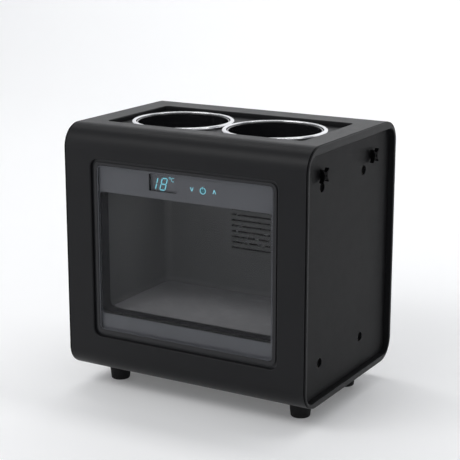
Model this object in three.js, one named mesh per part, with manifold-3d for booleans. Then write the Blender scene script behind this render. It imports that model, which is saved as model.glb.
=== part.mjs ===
// Countertop thermoelectric wine cooler for two upright bottles.
//
// Millimetres. +X is the object's right as seen from the front, +Y the back, +Z up.
// The origin is on the ground, under the middle of the case. Heights in this file are
// measured from the underside of the shell, and the whole case stands on its feet.
import * as THREE from 'three';
import { mergeVertices } from 'three/addons/utils/BufferGeometryUtils.js';
import Module from 'manifold-3d';

const wasm = await Module();
wasm.setup();

// ---------------------------------------------------------------- driving dimensions

const WIDTH = 301;
const DEPTH = 216;
const HEIGHT = 279.5;
const FOOT_HEIGHT = 24.5;
const GAP = 0.3; // clearance between pieces that touch

const FRONT = -DEPTH / 2;
const BACK = DEPTH / 2;
const WALL = { front: 4, back: 4, top: 8.5, bottom: 6.5 };
const CORNER = { frontTop: 26, backTop: 24, backBottom: 26, frontBottom: 24 };
const MOUTH_CORNER = 14; // corner radius of the shell's open ends, inside
const SIDE_RECESS = 6.5; // how far the side panels sit inside the shell's ends
const PANEL = 2; // side panel thickness

const OPENING = { halfWidth: 116, low: 42.8, high: 244.3, corner: 9 }; // in the shell's front
const TRIM = { halfWidth: 113.8, low: 45.3, high: 241.3, corner: 8, recess: 2.7 };
const PANE = { halfWidth: 109.4, low: 50.5, high: 237.6, corner: 5, thickness: 3 };
const VIEW = { halfWidth: 108, low: 71.5, high: 208.5, corner: 9 }; // clear part of the window
const PANE_FRONT = FRONT + 3;
const REVEAL = { wall: 6, back: -86 };
const REAR_GLASS = { front: -85.7, thickness: 3 };

const DECK = { halfWidth: 122, front: -66, back: 56, corner: 5, top: 274, thickness: 3.5 };
const WELL = { x: 58.5, y: -8, ringOuter: 57.8, ringInner: 52.8, ringTop: 277.7 };
const COLLAR = { outer: 52.4, wall: 2, bottom: 235.5, flange: 56.5, rim: 1.2 };
const FLANGE = 1.8; // thickness of the flanges behind the trim and under the deck

const CABIN = { halfWidth: 117, front: -82.4, back: 46, floor: 66.5, ceiling: 232.5, wall: 2 };
const BODY = { halfWidth: 138, front: -82.1, back: 72, low: 16.5, high: 270.2 };

const STACK = { x: 0, z: 148.5 }; // centre line of the thermoelectric stack
const COLD_FAN = { size: 60, thickness: 9, bladeRadius: 26, hub: 10 };
const HOT_FAN = { size: 90, thickness: 10, bladeRadius: 41, hub: 15 };
const COLD_SINK = { size: 72, fins: 12, depth: 9 };
const HOT_SINK = { width: 96, height: 100, fins: 16, depth: 13 };

const SIDE_SCREWS = [[-63.5, 233], [37, 233], [-63.5, 42.9], [37, 42.9]]; // y, z
const SIDE_HOLE = 5; // radius of the panel's holes round the side screws
const THUMB_PLACES = { front: -66.7, back: 55.9, z: 246.2 };
const THUMB = { half: 7.2, hollow: 3.5, blunt: 0.8, thickness: 4.5, tip: 150, neck: 4.6, shaft: 2.4 };
const FOOT = { x: 118, y: 55, collar: 13.6, top: 12.9, bottom: 10.8, pocket: 13 };

const REAR_COVER = { halfWidth: 84, low: 56.5, high: 224.5, corner: 6, thickness: 3 };
const INLET = { x: 112, z: 44.5, width: 28, height: 20 };

const ROUND = 32; // sides of a large round piece
const RING_ROUND = 36; // sides of the rings round the wells
const FOOT_ROUND = 20; // sides of a foot
const SMALL_ROUND = 14; // sides of a screw or a post

// ---------------------------------------------------------------- materials

const finish = (color, roughness, metalness = 0) =>
  new THREE.MeshStandardMaterial({ color, roughness, metalness });

const MATERIAL = {
  shell: () => finish(0x2b2b2e, 0.5),
  panel: () => finish(0x2c2c2f, 0.55),
  deck: () => finish(0x343437, 0.5),
  chrome: () => finish(0xe6e7e8, 0.12, 1),
  gloss: () => finish(0x0c0c0e, 0.2),
  trim: () => finish(0x3a3b40, 0.4),
  glass: () => new THREE.MeshStandardMaterial({
    color: 0x8f959c, roughness: 0.05, transparent: true, opacity: 0.35,
  }),
  liner: () => finish(0x55575a, 0.6),
  foam: () => finish(0xc9c4b4, 0.9),
  rubber: () => finish(0x121214, 0.8),
  screw: () => finish(0x1c1c1f, 0.35, 0.8),
  steel: () => finish(0x9a9ca0, 0.35, 0.9),
  aluminium: () => finish(0xb9bbbe, 0.35, 0.9),
  board: () => finish(0x14502c, 0.5),
  fan: () => finish(0x18181a, 0.5),
  ceramic: () => finish(0xe9e8e2, 0.6),
  light: () => finish(0xf2f4f6, 0.4),
};

// ---------------------------------------------------------------- geometry helpers

// Welds a geometry into one indexed closed mesh with its faces pointing out.
function closed(geometry) {
  const bare = geometry.clone();
  bare.deleteAttribute('normal');
  bare.deleteAttribute('uv');
  const welded = mergeVertices(bare, 1e-4);
  const place = welded.attributes.position;
  const index = [];
  let volume = 0;
  const a = new THREE.Vector3();
  const b = new THREE.Vector3();
  const c = new THREE.Vector3();
  for (let i = 0; i < welded.index.count; i += 3) {
    const [p, q, r] = [0, 1, 2].map((k) => welded.index.getX(i + k));
    if (p === q || q === r || r === p) continue;
    index.push(p, q, r);
    a.fromBufferAttribute(place, p);
    b.fromBufferAttribute(place, q);
    c.fromBufferAttribute(place, r);
    volume += a.dot(b.cross(c));
  }
  if (volume < 0) index.reverse();
  const result = new THREE.BufferGeometry();
  result.setAttribute('position', place);
  result.setIndex(index);
  return result;
}

function toManifold(geometry) {
  const mesh = closed(geometry);
  return new wasm.Manifold(new wasm.Mesh({
    numProp: 3,
    vertProperties: new Float32Array(mesh.attributes.position.array),
    triVerts: new Uint32Array(mesh.index.array),
  }));
}

function fromManifold(manifold) {
  const mesh = manifold.getMesh();
  const result = new THREE.BufferGeometry();
  result.setAttribute('position', new THREE.BufferAttribute(mesh.vertProperties, 3));
  result.setIndex(new THREE.BufferAttribute(mesh.triVerts, 1));
  return result;
}

const fold = (how) => (base, ...others) => fromManifold(
  others.reduce((sum, other) => sum[how](toManifold(other)), toManifold(base)),
);
const cut = fold('subtract');
const join = fold('add');
const common = fold('intersect');

// A rectangle with round corners, its first coordinate from u0 to u1 and its second v0 to v1.
function roundRect(u0, u1, v0, v1, r) {
  const shape = new THREE.Shape();
  shape.moveTo(u0 + r, v0);
  shape.lineTo(u1 - r, v0);
  shape.absarc(u1 - r, v0 + r, r, -Math.PI / 2, 0, false);
  shape.lineTo(u1, v1 - r);
  shape.absarc(u1 - r, v1 - r, r, 0, Math.PI / 2, false);
  shape.lineTo(u0 + r, v1);
  shape.absarc(u0 + r, v1 - r, r, Math.PI / 2, Math.PI, false);
  shape.lineTo(u0, v0 + r);
  shape.absarc(u0 + r, v0 + r, r, Math.PI, 1.5 * Math.PI, false);
  return shape;
}

const frameShape = (outer, inner) => {
  outer.holes.push(inner);
  return outer;
};

// Extrusions of a flat shape along one axis. The shape's coordinates are the other two axes
// in the order X, Y, Z, so a shape that goes along Y is drawn in X and Z.
function extrude(shape, depth, segments) {
  return new THREE.ExtrudeGeometry(shape, { depth, bevelEnabled: false, curveSegments: segments });
}

function alongX(shape, x0, x1, segments = 3) {
  const turn = new THREE.Matrix4().makeBasis(
    new THREE.Vector3(0, 1, 0),
    new THREE.Vector3(0, 0, 1),
    new THREE.Vector3(1, 0, 0),
  );
  return extrude(shape, x1 - x0, segments).applyMatrix4(turn).translate(x0, 0, 0);
}

function alongY(shape, y0, y1, segments = 3) {
  const turn = new THREE.Matrix4().makeBasis(
    new THREE.Vector3(1, 0, 0),
    new THREE.Vector3(0, 0, 1),
    new THREE.Vector3(0, -1, 0),
  );
  return extrude(shape, y1 - y0, segments).applyMatrix4(turn).translate(0, y1, 0);
}

function alongZ(shape, z0, z1, segments = 3) {
  return extrude(shape, z1 - z0, segments).translate(0, 0, z0);
}

function box(x0, x1, y0, y1, z0, z1) {
  const size = new THREE.BoxGeometry(x1 - x0, y1 - y0, z1 - z0);
  return size.translate((x0 + x1) / 2, (y0 + y1) / 2, (z0 + z1) / 2);
}

// A turned piece: profile points are [radius, height], and the axis goes up.
function turned(points, sides) {
  const profile = points.map(([r, h]) => new THREE.Vector2(r, h));
  return new THREE.LatheGeometry(profile, sides).rotateX(Math.PI / 2);
}

function rod(r, z0, z1, sides = SMALL_ROUND) {
  return turned([[0, z0], [r, z0], [r, z1], [0, z1]], sides);
}

// Lays a piece made on the Z axis along X or Y: its top then points to +X or to +Y.
const toX = (geometry) => geometry.rotateY(Math.PI / 2);
const toY = (geometry) => geometry.rotateX(-Math.PI / 2);

// ---------------------------------------------------------------- scene graph

const cooler = new THREE.Group();
const onFeet = new THREE.Group();
onFeet.position.z = FOOT_HEIGHT;
cooler.add(onFeet);

function add(name, geometry, material) {
  const mesh = new THREE.Mesh(closed(geometry), material);
  mesh.name = name;
  onFeet.add(mesh);
}

// ---------------------------------------------------------------- outer shell

function loopOutline() {
  const c = CORNER;
  const shape = new THREE.Shape();
  shape.moveTo(FRONT + c.frontBottom, 0);
  shape.lineTo(BACK - c.backBottom, 0);
  shape.absarc(BACK - c.backBottom, c.backBottom, c.backBottom, -Math.PI / 2, 0, false);
  shape.lineTo(BACK, HEIGHT - c.backTop);
  shape.absarc(BACK - c.backTop, HEIGHT - c.backTop, c.backTop, 0, Math.PI / 2, false);
  shape.lineTo(FRONT + c.frontTop, HEIGHT);
  shape.absarc(FRONT + c.frontTop, HEIGHT - c.frontTop, c.frontTop, Math.PI / 2, Math.PI, false);
  shape.lineTo(FRONT, c.frontBottom);
  shape.absarc(FRONT + c.frontBottom, c.frontBottom, c.frontBottom, Math.PI, 1.5 * Math.PI, false);
  return shape;
}

function mouthOutline(inset = 0) {
  return roundRect(
    FRONT + WALL.front + inset,
    BACK - WALL.back - inset,
    WALL.bottom + inset,
    HEIGHT - WALL.top - inset,
    MOUTH_CORNER - inset,
  );
}

const windowOutline = (o, inset = 0) =>
  roundRect(-o.halfWidth + inset, o.halfWidth - inset, o.low + inset, o.high - inset, o.corner);

function rearCoverOutline(inset) {
  const c = REAR_COVER;
  const half = c.halfWidth - inset;
  return roundRect(-half, half, c.low + inset, c.high - inset, c.corner);
}

function inletOutline(grow) {
  const [w, h] = [INLET.width / 2 + grow, INLET.height / 2 + grow];
  return roundRect(INLET.x - w, INLET.x + w, INLET.z - h, INLET.z + h, 2);
}

const footPlaces = [
  [-1, -1, 'front_left'],
  [1, -1, 'front_right'],
  [-1, 1, 'back_left'],
  [1, 1, 'back_right'],
];
const SCREW_SHAFT = 2;

function addShell() {
  const loop = alongX(frameShape(loopOutline(), mouthOutline()), -WIDTH / 2, WIDTH / 2, 4);
  const front = alongY(windowOutline(OPENING), FRONT - 1, FRONT + WALL.front + 1);
  const deckHole = roundRect(-DECK.halfWidth, DECK.halfWidth, DECK.front, DECK.back, DECK.corner);
  const top = alongZ(deckHole, HEIGHT - WALL.top - 1, HEIGHT + 1);
  const rear = alongY(rearCoverOutline(0), BACK - WALL.back - 1, BACK + 1);
  const inlet = alongY(inletOutline(GAP), BACK - WALL.back - 1, BACK + 1, 1);
  const footHoles = footPlaces.map(([sx, sy]) =>
    rod(SCREW_SHAFT + GAP, -1, WALL.bottom + 1, 12).translate(sx * FOOT.x, sy * FOOT.y, 0));
  add('wrap_shell', cut(loop, front, top, rear, inlet, ...footHoles), MATERIAL.shell());
}

// ---------------------------------------------------------------- sides

const PANEL_FACE = WIDTH / 2 - SIDE_RECESS;
const SIDE_SCREW = { shaft: 1.8, head: 4.2, below: 1.4, length: 18 };

function panelGeometry() {
  const plate = alongX(mouthOutline(GAP), PANEL_FACE - PANEL, PANEL_FACE);
  const holes = SIDE_SCREWS.map(([y, z]) =>
    toX(rod(SIDE_HOLE, PANEL_FACE - PANEL - 1, PANEL_FACE + 1)).translate(0, y, z));
  const thumbHole = toX(rod(THUMB.shaft + GAP, PANEL_FACE - PANEL - 1, PANEL_FACE + 1));
  const thumbHoles = [THUMB_PLACES.front, THUMB_PLACES.back].map((y) =>
    thumbHole.clone().translate(0, y, THUMB_PLACES.z));
  return cut(plate, ...holes, ...thumbHoles);
}

// Screw for the inner body, reached through a hole of the side panel. Its head lies below the face.
function sideScrew() {
  const { shaft, head, below, length } = SIDE_SCREW;
  const top = PANEL_FACE - below;
  const tip = top - length;
  return toX(turned([
    [0, tip], [shaft * 0.6, tip + 1], [shaft, tip + 3], [shaft, top - 2.5],
    [head, top - 1.2], [head, top - 0.4], [head - 0.6, top], [0, top],
  ], SMALL_ROUND));
}

// A square with blunt corners and four hollow sides.
function thumbOutline() {
  const { half, hollow, blunt } = THUMB;
  const edge = half - blunt;
  const waist = half - 2 * hollow; // control point of the curve that hollows a side
  const outline = new THREE.Shape();
  outline.moveTo(half, -edge);
  outline.quadraticCurveTo(waist, 0, half, edge);
  outline.lineTo(edge, half);
  outline.quadraticCurveTo(0, waist, -edge, half);
  outline.lineTo(-half, edge);
  outline.quadraticCurveTo(-waist, 0, -half, -edge);
  outline.lineTo(-edge, -half);
  outline.quadraticCurveTo(0, -waist, edge, -half);
  return outline;
}

// Thumb screw that clamps the side panel: a four-cornered head on a conical neck.
function thumbScrew() {
  const headBase = THUMB.tip - THUMB.thickness;
  const head = toX(alongZ(thumbOutline(), headBase, THUMB.tip, 6));
  const shaftTip = PANEL_FACE - 12;
  const seat = PANEL_FACE + GAP;
  const neck = toX(turned([
    [0, shaftTip], [THUMB.shaft - 0.6, shaftTip], [THUMB.shaft, shaftTip + 1], [THUMB.shaft, seat],
    [THUMB.neck, seat], [THUMB.neck - 1.6, headBase + 1], [0, headBase + 1],
  ], SMALL_ROUND));
  return join(head, neck);
}

function addSides() {
  const mirror = (geometry, side) => (side < 0 ? geometry.scale(-1, 1, 1) : geometry);
  for (const [side, word] of [[-1, 'left'], [1, 'right']]) {
    add(`side_panel_${word}`, mirror(panelGeometry(), side), MATERIAL.panel());
    SIDE_SCREWS.forEach(([y, z], i) => {
      const screw = mirror(sideScrew().translate(0, y, z), side);
      add(`side_screw_${word}_${i + 1}`, screw, MATERIAL.screw());
    });
    for (const place of ['front', 'back']) {
      const screw = mirror(thumbScrew().translate(0, THUMB_PLACES[place], THUMB_PLACES.z), side);
      add(`thumb_screw_${word}_${place}`, screw, MATERIAL.gloss());
    }
  }
}

// ---------------------------------------------------------------- top: deck, rings, collars

function ringProfile() {
  const { ringInner: inner, ringOuter: outer, ringTop: top } = WELL;
  const low = DECK.top + GAP;
  return [
    [inner, low], [outer, low], [outer, low + 1.6], [outer - 1.4, top],
    [inner + 0.8, top], [inner, top - 0.8], [inner, low],
  ];
}

// Short sleeve under the ring, held by a flange below the deck.
function collarProfile() {
  const { outer, bottom, flange, rim } = COLLAR;
  const inner = outer - COLLAR.wall;
  const top = WELL.ringTop - rim;
  const flangeTop = DECK.top - DECK.thickness - GAP;
  const flangeLow = flangeTop - FLANGE;
  return [
    [inner, bottom], [outer, bottom], [outer, flangeLow], [flange, flangeLow], [flange, flangeTop],
    [outer, flangeTop], [outer, top], [inner, top], [inner, bottom],
  ];
}

function addTop() {
  const d = DECK;
  const outline = roundRect(
    -d.halfWidth + GAP, d.halfWidth - GAP, d.front + GAP, d.back - GAP, d.corner,
  );
  const plate = alongZ(outline, d.top - d.thickness, d.top);
  const wells = [-1, 1].map((s) =>
    rod(COLLAR.outer + GAP, d.top - 5, d.top + 1, ROUND).translate(s * WELL.x, WELL.y, 0));
  add('top_deck', cut(plate, ...wells), MATERIAL.deck());
  for (const [side, word] of [[-1, 'left'], [1, 'right']]) {
    const ring = turned(ringProfile(), RING_ROUND).translate(side * WELL.x, WELL.y, 0);
    add(`ring_${word}`, ring, MATERIAL.chrome());
    const sleeve = turned(collarProfile(), ROUND).translate(side * WELL.x, WELL.y, 0);
    add(`collar_${word}`, sleeve, MATERIAL.gloss());
  }
}

// ---------------------------------------------------------------- front window and controls

const BOARD = { low: 216.5, high: 239.5, halfWidth: 62, front: -96.4, thickness: 1.6 };
const DISPLAY = { left: -44, right: -8, low: 215.5, high: 235 };
const TOUCH_KEYS = [11.5, 25, 39];
const TOUCH_Z = 223.2;

function addWindow() {
  const paneBack = PANE_FRONT + PANE.thickness;
  const flange = { halfWidth: 120, low: 40.5, high: 250.5, corner: 12 };
  const seat = windowOutline(PANE, -GAP);
  const flangeFront = FRONT + WALL.front + GAP;
  const bezel = alongY(windowOutline(TRIM), FRONT + TRIM.recess, flangeFront + 1);
  const rim = alongY(windowOutline(flange), flangeFront, flangeFront + FLANGE);
  const hole = alongY(seat, FRONT - 1, flangeFront + FLANGE + 1);
  add('window_trim', cut(join(bezel, rim), hole), MATERIAL.trim());
  add('front_glass', alongY(windowOutline(PANE), PANE_FRONT, paneBack), MATERIAL.glass());

  const frame = (growth) => ({
    halfWidth: VIEW.halfWidth + growth,
    low: VIEW.low - growth,
    high: VIEW.high + growth,
    corner: VIEW.corner + growth,
  });
  const border = (growth) => frameShape(windowOutline(frame(growth)), windowOutline(VIEW));
  const gasket = { width: 5.5, thickness: 2 };
  const gasketFront = paneBack + GAP;
  const gasketBack = gasketFront + gasket.thickness;
  add('window_gasket', alongY(border(gasket.width), gasketFront, gasketBack), MATERIAL.rubber());
  add('window_reveal', alongY(border(REVEAL.wall), gasketBack + GAP, REVEAL.back), MATERIAL.trim());
  const g = REAR_GLASS;
  const rearPane = windowOutline(frame(REVEAL.wall));
  add('rear_glass', alongY(rearPane, g.front, g.front + g.thickness), MATERIAL.glass());
}

function addControls() {
  const glassBack = PANE_FRONT + PANE.thickness + GAP;
  const b = BOARD;
  const plate = box(-b.halfWidth, b.halfWidth, b.front, b.front + b.thickness, b.low, b.high);
  const pads = TOUCH_KEYS.map((x) =>
    toY(rod(3.5, glassBack, b.front + 0.5, 12)).translate(x, 0, TOUCH_Z));
  const chip = box(20, 30, b.front + 1, b.front + 3, 229, 237);
  const plug = box(44, 56, b.front + 1, b.front + 6, 230.5, 237.5);
  add('control_board', join(plate, ...pads, chip, plug), MATERIAL.board());
  const d = DISPLAY;
  add('display_module', box(d.left, d.right, glassBack, b.front - GAP, d.low, d.high), MATERIAL.gloss());
}

// ---------------------------------------------------------------- cold cabin and insulation

const GRILLE = { half: 36, thickness: 2, slots: 9, pitch: 6.6, slot: { half: 26, width: 3.2 } };
const STACK_HOLE = 33; // half-width of the opening for the cold fan in the cabin's back wall
const BLOCK = { half: 20, end: 74 }; // the cold block and the thermoelectric module are 40 mm square
const MODULE = 3.6; // thickness of the thermoelectric module
const LAMP = { half: 60, front: -78.4, depth: 8, height: 4 };
const PROBE = { x: 96, z: 152.5, radius: 2.5, length: 21 };

function addCabin() {
  const c = CABIN;
  const shellOut = box(
    -c.halfWidth - c.wall, c.halfWidth + c.wall, c.front, c.back + c.wall,
    c.floor - c.wall, c.ceiling + c.wall,
  );
  const hollow = box(-c.halfWidth, c.halfWidth, c.front + c.wall, c.back, c.floor, c.ceiling);
  const view = alongY(windowOutline(VIEW, -3), c.front - 1, c.front + c.wall + 1);
  const well = rod(WELL.ringInner + 1.5, c.ceiling - 1, c.ceiling + 5, ROUND);
  const wells = [-1, 1].map((s) => well.clone().translate(s * WELL.x, WELL.y, 0));
  const h = STACK_HOLE;
  const fan = box(-h, h, c.back - 1, c.back + 5, STACK.z - h, STACK.z + h);
  add('cabin_liner', cut(shellOut, hollow, view, fan, ...wells), MATERIAL.liner());
  const mat = roundRect(-c.halfWidth + 3, c.halfWidth - 3, c.front + 5, c.back - 3, 6);
  add('floor_mat', alongZ(mat, c.floor + GAP, c.floor + 2.3, 2), MATERIAL.rubber());
  const l = LAMP;
  const lampTop = c.ceiling - GAP;
  const lamp = box(-l.half, l.half, l.front, l.front + l.depth, lampTop - l.height, lampTop);
  add('cabin_light', lamp, MATERIAL.light());
  const p = PROBE;
  const probe = turned([
    [0, 0], [p.radius - 0.3, 1], [p.radius, 2.5], [p.radius, p.length - 1], [1, p.length], [0, p.length],
  ], SMALL_ROUND);
  add('temperature_sensor', probe.translate(p.x, c.back - 3.2, p.z), MATERIAL.steel());
}

function addInsulation() {
  const c = CABIN;
  const b = BODY;
  const block = box(-b.halfWidth, b.halfWidth, b.front, b.back, b.low, b.high);
  const out = c.wall + GAP;
  const cabin = box(
    -c.halfWidth - out, c.halfWidth + out, b.front - 1, c.back + out, c.floor - out, c.ceiling + out,
  );
  const sleeve = rod(COLLAR.outer + GAP, c.ceiling, b.high + 1, ROUND);
  const flangeLow = DECK.top - DECK.thickness - FLANGE - 2 * GAP;
  const flange = rod(COLLAR.flange + GAP, flangeLow, b.high + 1, ROUND);
  const wells = [-1, 1].flatMap((s) => [sleeve, flange].map((piece) =>
    piece.clone().translate(s * WELL.x, WELL.y, 0)));
  const sinkHalf = COLD_SINK.size / 2 + 2;
  const sinkEnd = c.back + 2 * GAP + COLD_FAN.thickness + GAP + COLD_SINK.depth + 2;
  const pocket = box(-sinkHalf, sinkHalf, c.back, sinkEnd, STACK.z - sinkHalf, STACK.z + sinkHalf);
  const s = BLOCK.half + GAP;
  const stack = box(-s, s, sinkEnd - 1, b.back + 1, STACK.z - s, STACK.z + s);
  const bore = (radius, start, y, z) => [
    toX(rod(radius, start, b.halfWidth + 1, 12)).translate(0, y, z),
    toX(rod(radius, -b.halfWidth - 1, -start, 12)).translate(0, y, z),
  ];
  const screwEnd = PANEL_FACE - SIDE_SCREW.below - SIDE_SCREW.length - 2;
  const screwHoles = SIDE_SCREWS.flatMap(([y, z]) => bore(SIDE_SCREW.shaft + GAP, screwEnd, y, z));
  const thumbHoles = [THUMB_PLACES.front, THUMB_PLACES.back].flatMap((y) =>
    bore(THUMB.shaft + GAP, PANEL_FACE - 14, y, THUMB_PLACES.z));
  const body = cut(block, cabin, ...wells, pocket, stack, ...screwHoles, ...thumbHoles);
  add('insulation_body', body, MATERIAL.foam());
}

// ---------------------------------------------------------------- thermoelectric stack

// Axial fan frame: a square plate with a round duct, an outer ring and a hub on three spokes.
function fanFrame(fan, y0) {
  const half = fan.size / 2;
  const y1 = y0 + fan.thickness;
  const plate = alongY(roundRect(-half, half, -half, half, 4), y0, y1, 1);
  const duct = toY(rod(fan.bladeRadius + 1.2, y0 - 1, y1 + 1, ROUND));
  const spokes = [0, 1, 2].map((i) => {
    const arm = box(0, fan.bladeRadius + 3, y1 - 1.6, y1, -1.5, 1.5);
    return arm.rotateY((i / 3) * 2 * Math.PI + 0.4);
  });
  const hub = toY(rod(fan.hub - 1, y1 - 1.6, y1, SMALL_ROUND));
  return join(cut(plate, duct), ...spokes, hub);
}

// Impeller with seven pitched blades; its axis is Y.
function fanRotor(fan, y0) {
  const y1 = y0 + fan.thickness - 2.2;
  const hub = toY(rod(fan.hub, y0 + 0.6, y1, SMALL_ROUND));
  const blades = Array.from({ length: 7 }, (_, i) => {
    const blade = box(fan.hub - 2, fan.bladeRadius, -0.6, 0.6, -fan.hub * 0.45, fan.hub * 0.45);
    blade.rotateX(Math.PI / 5);
    blade.translate(0, (y0 + y1) / 2, 0);
    return blade.rotateY((i / 7) * 2 * Math.PI);
  });
  return common(join(hub, ...blades), toY(rod(fan.bladeRadius, y0 + 0.6, y1, ROUND)));
}

// Plate with straight fins. The base lies at baseY and the fins reach to tipY.
function finnedSink(width, height, count, baseY, tipY, base) {
  const toward = Math.sign(tipY - baseY);
  const [plate0, plate1] = [baseY, baseY + toward * base].sort((p, q) => p - q);
  const [fin0, fin1] = [baseY + toward * base * 0.5, tipY].sort((p, q) => p - q);
  const plate = box(-width / 2, width / 2, plate0, plate1, -height / 2, height / 2);
  const fins = Array.from({ length: count }, (_, i) => {
    const x = -width / 2 + 0.6 + (i * (width - 1.2)) / (count - 1);
    return box(x - 0.6, x + 0.6, fin0, fin1, -height / 2, height / 2);
  });
  return join(plate, ...fins);
}

function addStack() {
  const place = (geometry) => geometry.translate(STACK.x, 0, STACK.z);
  const coldFanY = CABIN.back + GAP;
  const coldSinkTip = coldFanY + COLD_FAN.thickness + GAP;
  const coldSinkBase = coldSinkTip + COLD_SINK.depth;
  add('cold_fan_frame', place(fanFrame(COLD_FAN, coldFanY)), MATERIAL.fan());
  add('cold_fan_rotor', place(fanRotor(COLD_FAN, coldFanY)), MATERIAL.fan());
  const c = COLD_SINK;
  const coldSink = finnedSink(c.size, c.size, c.fins, coldSinkBase, coldSinkTip, 2.5);
  add('cold_sink', place(coldSink), MATERIAL.aluminium());

  const b = BLOCK.half;
  const block = box(-b, b, coldSinkBase + GAP, BLOCK.end, -b, b);
  add('cold_block', place(block), MATERIAL.aluminium());
  const moduleFront = BLOCK.end + GAP;
  const moduleEnd = moduleFront + MODULE;
  add('peltier_module', place(box(-b, b, moduleFront, moduleEnd, -b, b)), MATERIAL.ceramic());

  const h = HOT_SINK;
  const hotBase = moduleEnd + GAP;
  const hotTip = hotBase + h.depth;
  const hotSink = finnedSink(h.width, h.height, h.fins, hotBase, hotTip, 3);
  add('hot_sink', place(hotSink), MATERIAL.aluminium());
  const hotFanY = hotTip + GAP;
  add('hot_fan_frame', place(fanFrame(HOT_FAN, hotFanY)), MATERIAL.fan());
  add('hot_fan_rotor', place(fanRotor(HOT_FAN, hotFanY)), MATERIAL.fan());
}

function addGrille() {
  const { half, thickness, slot, pitch, slots: count } = GRILLE;
  const y1 = CABIN.back - GAP;
  const y0 = y1 - thickness;
  const plate = alongY(roundRect(-half, half, -half, half, 5), y0, y1, 1);
  const slots = Array.from({ length: count }, (_, i) => {
    const z = (i - (count - 1) / 2) * pitch;
    return box(-slot.half, slot.half, y0 - 1, y1 + 1, z - slot.width / 2, z + slot.width / 2);
  });
  add('cold_fan_grille', cut(plate, ...slots).translate(STACK.x, 0, STACK.z), MATERIAL.liner());
}

// ---------------------------------------------------------------- rear compartment

const COVER_SCREW = { x: 76, margin: 8, head: 3.2, shaft: 1.5, length: 14 };
const VENT = { slots: 15, pitch: 6.4, reach: 46, half: 1.7 }; // horizontal slots behind the hot fan
const LOW_VENT = { slots: 12, pitch: 12, low: 14, high: 34, half: 1.7 }; // upright slots below
const POWER_BOARD = { x0: -134, x1: -56, y0: 76, z0: 62.5, z1: 202.5, thickness: 1.6 };

function coverScrewPlaces() {
  const { low, high } = REAR_COVER;
  const heights = [low + COVER_SCREW.margin, high - COVER_SCREW.margin];
  return heights.flatMap((z) => [-COVER_SCREW.x, COVER_SCREW.x].map((x) => [x, z]));
}

function addRear() {
  const c = REAR_COVER;
  const y1 = BACK - 0.6;
  const y0 = y1 - c.thickness;
  const plate = alongY(rearCoverOutline(GAP), y0, y1);
  const slots = Array.from({ length: VENT.slots }, (_, i) => {
    const step = i - (VENT.slots - 1) / 2;
    const z = STACK.z + step * VENT.pitch;
    const reach = VENT.reach * Math.sqrt(1 - (step / 8.2) ** 2); // shorter towards top and bottom
    return box(-reach, reach, y0 - 1, y1 + 1, z - VENT.half, z + VENT.half);
  });
  const v = LOW_VENT;
  const low = Array.from({ length: v.slots }, (_, i) => {
    const x = (i - (v.slots - 1) / 2) * v.pitch;
    return box(x - v.half, x + v.half, y0 - 1, y1 + 1, c.low + v.low, c.low + v.high);
  });
  const k = COVER_SCREW;
  const drill = toY(rod(k.shaft + 0.4, y0 - 1, y1 + 1, 12));
  const sink = toY(rod(k.head + GAP, y1 - 1.6, y1 + 1, 12));
  const holes = coverScrewPlaces().flatMap(([x, z]) =>
    [drill, sink].map((tool) => tool.clone().translate(x, 0, z)));
  add('rear_cover', cut(plate, ...slots, ...low, ...holes), MATERIAL.panel());

  const head = y1 - 0.1;
  const tip = head - k.length;
  coverScrewPlaces().forEach(([x, z], i) => {
    const screw = toY(turned([
      [0, tip], [k.shaft - 0.5, tip + 0.6], [k.shaft, tip + 1.5], [k.shaft, head - 1.2],
      [k.head, head - 1.2], [k.head, head - 0.3], [k.head - 0.8, head], [0, head],
    ], 12));
    add(`rear_cover_screw_${i + 1}`, screw.translate(x, 0, z), MATERIAL.screw());
  });
}

// Mains power supply: a board with a transformer, a heat spreader and three capacitors.
function addPowerBoard() {
  const p = POWER_BOARD;
  const root = p.y0 + 1;
  const board = box(p.x0, p.x1, p.y0, p.y0 + p.thickness, p.z0, p.z1);
  const transformer = box(p.x0 + 8, p.x0 + 40, root, root + 21, p.z0 + 16, p.z0 + 44);
  const spreader = box(p.x0 + 48, p.x0 + 51, root, root + 19, p.z0 + 16, p.z0 + 60);
  const cans = [0, 1, 2].map((i) =>
    toY(rod(7, root, root + 20, 12)).translate(p.x0 + 18, 0, p.z0 + 66 + i * 18));
  add('power_board', join(board, transformer, spreader, ...cans), MATERIAL.board());
}

const SOCKET = { halfWidth: 11.6, halfHeight: 8, depth: 17, body: { halfWidth: 13, halfHeight: 9.5 } };

function addInlet() {
  const front = BACK - 0.2;
  const bodyStart = front - 24;
  const flange = alongY(inletOutline(0), front - 3, front, 1);
  const s = SOCKET;
  const body = box(
    INLET.x - s.body.halfWidth, INLET.x + s.body.halfWidth, bodyStart, front - 1,
    INLET.z - s.body.halfHeight, INLET.z + s.body.halfHeight,
  );
  const socket = box(
    INLET.x - s.halfWidth, INLET.x + s.halfWidth, front - s.depth, front + 1,
    INLET.z - s.halfHeight, INLET.z + s.halfHeight,
  );
  const pins = [[-7, -1.5], [0, 2.5], [7, -1.5]].map(([dx, dz]) => box(
    INLET.x + dx - 1, INLET.x + dx + 1, front - s.depth - 2, front - 6,
    INLET.z + dz - 2, INLET.z + dz + 2,
  ));
  add('mains_inlet', join(cut(join(flange, body), socket), ...pins), MATERIAL.fan());
}

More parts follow.
